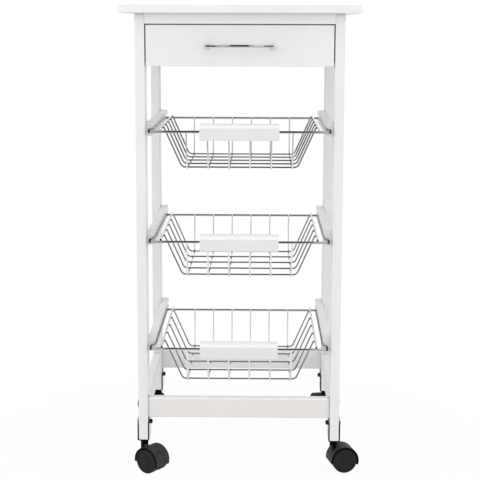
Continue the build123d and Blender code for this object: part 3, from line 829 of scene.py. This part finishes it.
half_floor, near, far, near_white, far_white = 6, 0.22, 0.60, 0.95, 1.0
floor_finish, tree, shader = matt_finish("floor_pale", grey=0.82)
shader.inputs["Specular IOR Level"].default_value = 0.0
white = add_node(tree, "ShaderNodeEmission", Color=(1, 1, 1, 1), Strength=1.0).outputs[0]
away = combine(tree, "LENGTH", coordinate(tree, "Object"), kind="ShaderNodeVectorMath")
whiteness = spread(tree, away, near_white, far_white, near, far)
share = combine(tree, "MULTIPLY", whiteness, seen_rays(tree))
mix_surfaces(tree, share, shader.outputs["BSDF"], white, tree.nodes["Material Output"])
square = ((-1, -1), (1, -1), (1, 1), (-1, 1))
floor_corners = [(x * half_floor, y * half_floor, 0) for x, y in square]
flat_sheet("floor", floor_corners, [(0, 1, 2, 3)], floor_finish)
print("floor:", 2 * half_floor, "m wide")

# %% Background
world = bpy.data.worlds.new("studio")
bpy.context.scene.world = world
world.use_nodes = True
tree = world.node_tree
tree.nodes.clear()
backdrop, soft = (
    add_node(tree, "ShaderNodeBackground", Color=(grey, grey, grey, 1), Strength=1.0).outputs[0]
    for grey in (1.0, 0.80)
)
mix_surfaces(tree, seen_rays(tree), soft, backdrop, add_node(tree, "ShaderNodeOutputWorld"))
print("background:", world.name)

# %% [markdown]
# ## Dark cards
# Chrome in an all-white room has no shape. Darker chrome would lose its sparkle, so dark cards
# stand round the object, as in a photo studio. The middle card bends from behind the camera to
# overhead, and a rug carries it on along the floor: each level wire mirrors one dark line. On each
# side a sill along the floor and a leaf that leans in overhead darken the ends of the bowed handle.
# The flags and the outer rugs darken the leaning hoops. Only mirror rays see the cards: they cast
# no shadow and take no light.

# %% Folds of the cards
card_x, rug_z = -0.05, 0.004
middle_fold = [(-3.0, 0.4), (-3.0, 1.3), (-2.75, 1.95), (-2.2, 2.4), (-1.4, 2.65), (1.5, 2.75)]
middle_card = [(card_x, y, z) for y, z in middle_fold]
middle_rug = [(card_x, -2.9, rug_z), (card_x, -0.44, rug_z)]
sill = [(0.36, -1.0, rug_z), (0.92, -2.95, rug_z), (0.98, -3.0, 0.75)]
leaf = [(0.98, -3.0, 1.2), (0.90, -2.75, 1.95), (0.72, -2.2, 2.4), (0.44, -1.4, 2.65)]
flag = [(2.5, -0.4, 1.45), (2.2, -0.4, 2.3), (0.6, -0.4, 2.9)]
front_rug = [(0.45, -1.2, rug_z), (1.6, -1.2, rug_z)]
side_rug = [(0.95, 0.1, rug_z), (1.6, 0.1, rug_z)]
card_width, rug_width, narrow_width = (0.58, 0, 0), (0.62, 0, 0), (0.42, 0, 0)
flag_length, front_length, side_length = (0, 4.0, 0), (0, 1.6, 0), (0, 0.8, 0)
middle_cards = ((middle_card, card_width), (middle_rug, rug_width))
side_cards = (
    (sill, narrow_width),
    (leaf, narrow_width),
    (flag, flag_length),
    (front_rug, front_length),
    (side_rug, side_length),
)
print("cards in the middle:", len(middle_cards), "on each side:", len(side_cards))

# %% Stand the cards up
card_finish = matt_finish("dark_card", grey=0.02)[0]


def dark_card(folds, width):
    half = Vector(width) / 2
    corners = [Vector(fold) + side * half for fold in folds for side in both_sides]
    firsts = range(0, 2 * len(folds) - 2, 2)
    strips = [(first, first + 1, first + 3, first + 2) for first in firsts]
    card = flat_sheet("dark_card", corners, strips, card_finish)
    card.visible_camera = card.visible_diffuse = False
    card.visible_shadow = card.visible_transmission = False


for folds, width in middle_cards:
    dark_card(folds, width)
for side in (1, -1):
    for folds, width in side_cards:
        dark_card([(side * x, y, z) for x, y, z in folds], width)
print("cards:", len(middle_cards) + 2 * len(side_cards))

# %% [markdown]
# ## Lamps
# The background lights the cart evenly, which leaves its faces flat. Small lamps would draw hard
# shadows, so three large soft ones help: one from each side, which reach the inner faces, and a
# weak one from above. Mirrors don't see them, so the wires show the cards and not the lamps.


# %% Soft lamps
def soft_lamp(name, place, aim, power, size=1.8):
    lamp = bpy.data.lights.new(name, "AREA")
    lamp.shape = "DISK"
    lamp.size = size
    lamp.energy = power
    holder = bpy.data.objects.new(name, lamp)
    holder.location = place
    holder.rotation_euler = (Vector(aim) - Vector(place)).to_track_quat("-Z", "Y").to_euler()
    holder.visible_glossy = False
    bpy.context.collection.objects.link(holder)
    print("lamp:", name, power, "W")


soft_lamp("left_lamp", (-2.3, -1.5, 1.2), (0, 0, 0.40), 18)
soft_lamp("right_lamp", (2.3, -1.5, 1.0), (0, 0, 0.35), 15)
soft_lamp("top_lamp", (-0.4, -1.6, 2.4), (0, 0, 0.50), 3)

# %% [markdown]
# ## Camera
# The camera stands where the photograph was taken from. Aiming it by hand would leave the legs a
# little off, so its place, its turns and its focal length in pixels were fitted to edges of the
# cart.

# %% Camera, where the photographer stood
focal_px, frame_px, sensor_mm = 1262.93, 480.0, 36.0
pitch, yaw, roll = 0.16692, -0.01522, 0.00287
stand = (0.03112, -2.1269, 0.7169)
ahead = Vector((math.sin(yaw), math.cos(yaw), 0.0))
right = Vector((math.cos(yaw), -math.sin(yaw), 0.0))
forward = ahead * math.cos(pitch) - upright * math.sin(pitch)
up = ahead * math.sin(pitch) + upright * math.cos(pitch)
across = right * math.cos(roll) + up * math.sin(roll)
upward = up * math.cos(roll) - right * math.sin(roll)
lens = bpy.data.cameras.new("camera")
lens.sensor_fit = "HORIZONTAL"
lens.sensor_width = sensor_mm
lens.lens = sensor_mm * focal_px / frame_px
camera = bpy.data.objects.new("camera", lens)
turn = Matrix((across, upward, -forward)).transposed().to_4x4()
camera.matrix_world = Matrix.Translation(stand) @ turn
bpy.context.collection.objects.link(camera)
bpy.context.scene.camera = camera
print("lens:", round(lens.lens, 2), "mm")
